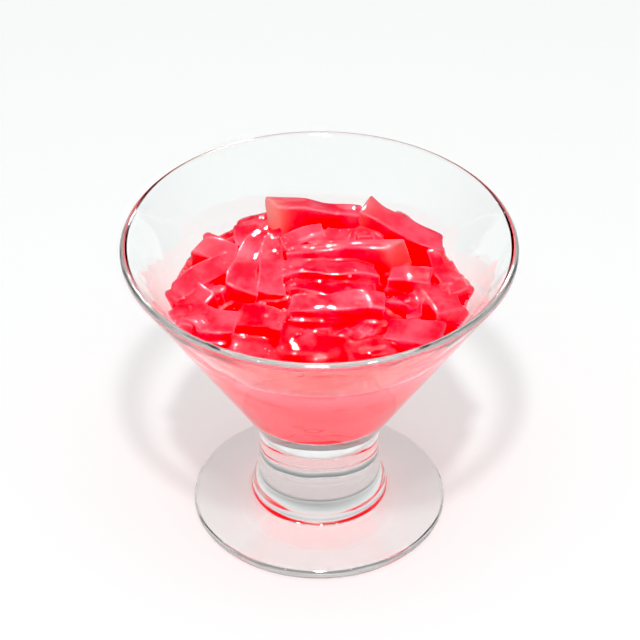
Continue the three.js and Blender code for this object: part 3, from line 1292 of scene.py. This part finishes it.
@dataclass(frozen=True)
class BubbleFinish:
    """A bubble in red syrup; its bright skin colour is a painted highlight."""

    # painted highlight: a paler skin makes each bubble read as a bright speck
    skin: Colour = (1.0, 0.20, 0.25)
    passed: Colour = (0.99, 0.6, 0.65)
    roughness: float = 0.03
    index: float = 1.5
    shine: float = 0.8

    def material(self) -> bpy.types.Material:
        """Make the finish.

        Returns:
            The finish as a material.
        """
        shader = Shader("syrup_bubble")
        shader.set(Base_Color=(*self.skin, 1.0), Roughness=self.roughness, IOR=self.index,
                   Specular_IOR_Level=self.shine)
        shader.let_light(self.passed, Ray.LAMP)
        return shader.material


@dataclass(frozen=True)
class Froth:
    """A few bubbles that sit together, in millimetres."""

    at: Span
    spread: float
    count: int


@dataclass
class Bubbles:
    """Small bubbles caught at the edges of the strips, in millimetres. Rarity makes large ones few."""

    groups: tuple[Froth, ...] = (
        Froth((-9.3, 14.5), 1.6, 8), Froth((-9.4, 7.5), 1.0, 5), Froth((-9.2, 0.9), 1.2, 6),
        Froth((-8.4, -5.0), 1.4, 8), Froth((-8.0, -13.5), 1.8, 12), Froth((-13.4, -25.4), 0.9, 4),
        Froth((-37.5, -7.2), 1.2, 4), Froth((-32.6, -18.7), 1.4, 6), Froth((-23.0, -8.6), 1.4, 6),
        Froth((-22.2, -16.9), 1.0, 4), Froth((-15.8, -6.1), 1.0, 4), Froth((9.1, 1.5), 0.8, 3),
        Froth((19.1, -1.9), 1.2, 4), Froth((19.8, -11.6), 0.8, 3), Froth((27.5, -24.1), 0.8, 2),
        Froth((35.3, 11.6), 1.0, 4), Froth((39.0, 6.5), 1.2, 5), Froth((-5.3, -17.8), 1.0, 3),
        Froth((-28.9, -1.4), 1.6, 4), Froth((23.7, -8.0), 1.0, 3), Froth((6.0, 20.5), 1.6, 5),
        Froth((30.0, 24.0), 1.4, 5), Froth((-22.0, 28.0), 1.4, 5), Froth((2.0, 39.0), 1.4, 5),
    )
    smallest: float = 0.16
    largest: float = 0.62
    rarity: float = 2.5
    subdivisions: int = 2
    top: float = 95.0
    seed: int = 3
    finish: BubbleFinish = field(default_factory=BubbleFinish)

    def build(self, surfaces: list[bpy.types.Object]) -> bpy.types.Object:
        """Make the bubbles as one piece.

        Args:
            surfaces: Objects that the bubbles sit on.

        Returns:
            The bubbles' object.
        """
        random = Random(self.seed)
        trees = [Bench.tree(surface) for surface in surfaces]
        pieces = []
        for group in self.groups:
            for _ in range(group.count):
                radius = self.smallest + (self.largest - self.smallest) * random.random() ** self.rarity
                start = Vector((random.gauss(group.at[0], group.spread),
                                random.gauss(group.at[1], group.spread), self.top))
                hits = [tree.ray_cast(start, Vector((0, 0, -1)))[0] for tree in trees]
                place = max((hit for hit in hits if hit), key=lambda hit: hit.z)
                Bench.clear()
                bpy.ops.mesh.primitive_ico_sphere_add(subdivisions=self.subdivisions, radius=radius * MM,
                                                      location=place * MM)
                pieces.append(bpy.context.object)
        item = Bench.joined("syrup_bubbles", pieces)
        bpy.ops.object.transform_apply(location=True, rotation=False, scale=False)
        bpy.ops.object.shade_smooth()
        item.data.materials.append(self.finish.material())
        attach(item, BODY)
        return item


@dataclass(frozen=True)
class Lamp:
    """A round lamp: tilt from the upright and turn to the side in degrees, lengths in millimetres."""

    name: str
    tilt: float
    side: float
    distance: float
    size: float
    power: float
    colour: Colour = (1.0, 1.0, 1.0)
    lights: bool = True
    shows: bool = True


@dataclass
class Studio:
    """Pale floor, soft light and the camera. Lengths are in millimetres, angles in degrees.

    The floor glows a little, which keeps the shadows pale. The sky is bright overhead, tilted to the
    camera, and dim at the horizon, which draws dark lines in the glass.
    """

    camera_distance: float = 945.95
    camera_height_angle: float = 37.617
    aim_height: float = 65.38
    lens: float = 190.08
    sensor: float = 36.0
    shift: float = 0.0012
    floor_size: float = 6000.0
    floor_gap: float = 0.15
    floor_colour: Colour = (0.685, 0.70, 0.70)
    floor_roughness: float = 0.9
    floor_shine: float = 0.1
    floor_glow: float = 0.28
    floor_glow_colour: Colour = (0.985, 1.0, 0.995)
    lamps: tuple[Lamp, ...] = (
        Lamp("key", 26.0, -1.0, 900.0, 60.0, 2.9),
        Lamp("shine", 26.0, 0.0, 900.0, 90.0, 22.0, lights=False),
        Lamp("shine_left", 32.0, -42.0, 900.0, 50.0, 3.0, lights=False),
        Lamp("shine_right", 30.0, 38.0, 900.0, 50.0, 3.0, lights=False),
        Lamp("glint", -54.0, 4.0, 900.0, 45.0, 1.6, lights=False),
        Lamp("glint_left", -45.0, 15.0, 900.0, 40.0, 1.6, lights=False),
        Lamp("glint_right", -47.0, -15.0, 900.0, 40.0, 1.6, lights=False),
        Lamp("sheen", -46.0, -6.0, 900.0, 240.0, 0.25, lights=False),
        Lamp("red_down_the_stem", 0.0, 0.0, 12.0, 40.0, 0.0022, (1.0, 0.05, 0.08), shows=False),
    )
    sky_tilt: float = 26.0
    sky: float = 0.85
    sky_dim: float = 0.28
    sky_low: float = -0.15
    sky_high: float = 0.65
    black_level: float = 0.042
    all_bounces: int = 24
    glass_bounces: int = 20
    shine_bounces: int = 8
    floor_bounces: int = 6
    clear_bounces: int = 40

    def floor(self) -> None:
        """Lay the floor."""
        Bench.clear()
        bpy.ops.mesh.primitive_plane_add(size=self.floor_size * MM, location=(0, 0, -self.floor_gap * MM))
        item = bpy.context.object
        item.name = "studio_floor"
        shader = Shader("studio_floor")
        shader.set(Base_Color=(*self.floor_colour, 1.0), Roughness=self.floor_roughness,
                   Specular_IOR_Level=self.floor_shine, Emission_Color=(*self.floor_glow_colour, 1.0),
                   Emission_Strength=self.floor_glow)
        item.data.materials.append(shader.material)

    def camera(self) -> None:
        """Set the camera at the photograph's angle."""
        angle = math.radians(self.camera_height_angle)
        data = bpy.data.cameras.new("camera")
        data.lens = self.lens
        data.sensor_width = self.sensor
        data.shift_x = self.shift
        item = bpy.data.objects.new("camera", data)
        along = Vector((0, -math.cos(angle), math.sin(angle)))
        item.location = (self.camera_distance * along + Vector((0, 0, self.aim_height))) * MM
        item.rotation_euler = Euler((math.pi / 2 - angle, 0, 0))
        bpy.context.scene.collection.objects.link(item)
        bpy.context.scene.camera = item

    @staticmethod
    def hang(lamp: Lamp) -> None:
        """Hang one lamp, turned to the glass.

        Args:
            lamp: The lamp to hang.
        """
        data = bpy.data.lights.new(lamp.name, "AREA")
        data.shape = "DISK"
        data.size = lamp.size * MM
        data.energy = lamp.power
        data.color = lamp.colour
        item = bpy.data.objects.new(lamp.name, data)
        turn = Euler((math.radians(lamp.tilt), 0, math.radians(lamp.side)))
        item.location = Vector((0, 0, lamp.distance * MM))
        item.location.rotate(turn)
        item.rotation_euler = turn
        item.visible_camera = False
        item.visible_diffuse = lamp.lights
        item.visible_glossy = lamp.shows
        item.visible_transmission = lamp.lights and lamp.shows
        bpy.context.scene.collection.objects.link(item)

    def surroundings(self) -> None:
        """Light the scene from a plain room, bright overhead and dim at the horizon."""
        world = bpy.data.worlds.new("studio")
        bpy.context.scene.world = world
        world.use_nodes = True
        graph = Graph(world.node_tree)
        tilt = math.radians(self.sky_tilt)
        lie = graph.add("ShaderNodeVectorMath", operation="DOT_PRODUCT")
        lie.inputs[1].default_value = (0, -math.sin(tilt), math.cos(tilt))
        graph.link(graph.add("ShaderNodeTexCoord").outputs["Generated"], lie.inputs[0])
        light = graph.range(lie.outputs["Value"], self.sky_low, self.sky_high, self.sky_dim, self.sky)
        background = graph.nodes["Background"]
        background.inputs["Color"].default_value = (1.0, 1.0, 1.0, 1.0)
        graph.link(light, background.inputs["Strength"])

    def film(self) -> None:
        """Set how the picture is developed and how often light may bounce."""
        view = bpy.context.scene.view_settings
        view.view_transform = "Standard"
        view.use_curve_mapping = True
        view.curve_mapping.black_level = (self.black_level,) * 3
        view.curve_mapping.update()
        cycles = bpy.context.scene.cycles
        cycles.max_bounces = self.all_bounces
        cycles.transmission_bounces = self.glass_bounces
        cycles.glossy_bounces = self.shine_bounces
        cycles.diffuse_bounces = self.floor_bounces
        cycles.transparent_max_bounces = self.clear_bounces

    def build(self) -> None:
        """Build the whole studio."""
        self.floor()
        self.camera()
        for lamp in self.lamps:
            self.hang(lamp)
        self.surroundings()
        self.film()


def main() -> None:
    """Build the studio and the dessert, piece by piece."""
    logging.basicConfig(level=logging.INFO, format="%(name)s: %(message)s")
    Studio().build()
    glass = DessertGlass()
    heap = JellyHeap(glass)
    strips = heap.build()
    syrup = SyrupFill(glass).build(heap, strips)
    bubbles = Bubbles().build([strips, syrup])
    for item in (glass.build(), strips, syrup, bubbles):
        LOG.info("%s: %d faces", item.name, len(item.data.polygons))


if __name__ == "__main__":
    main()
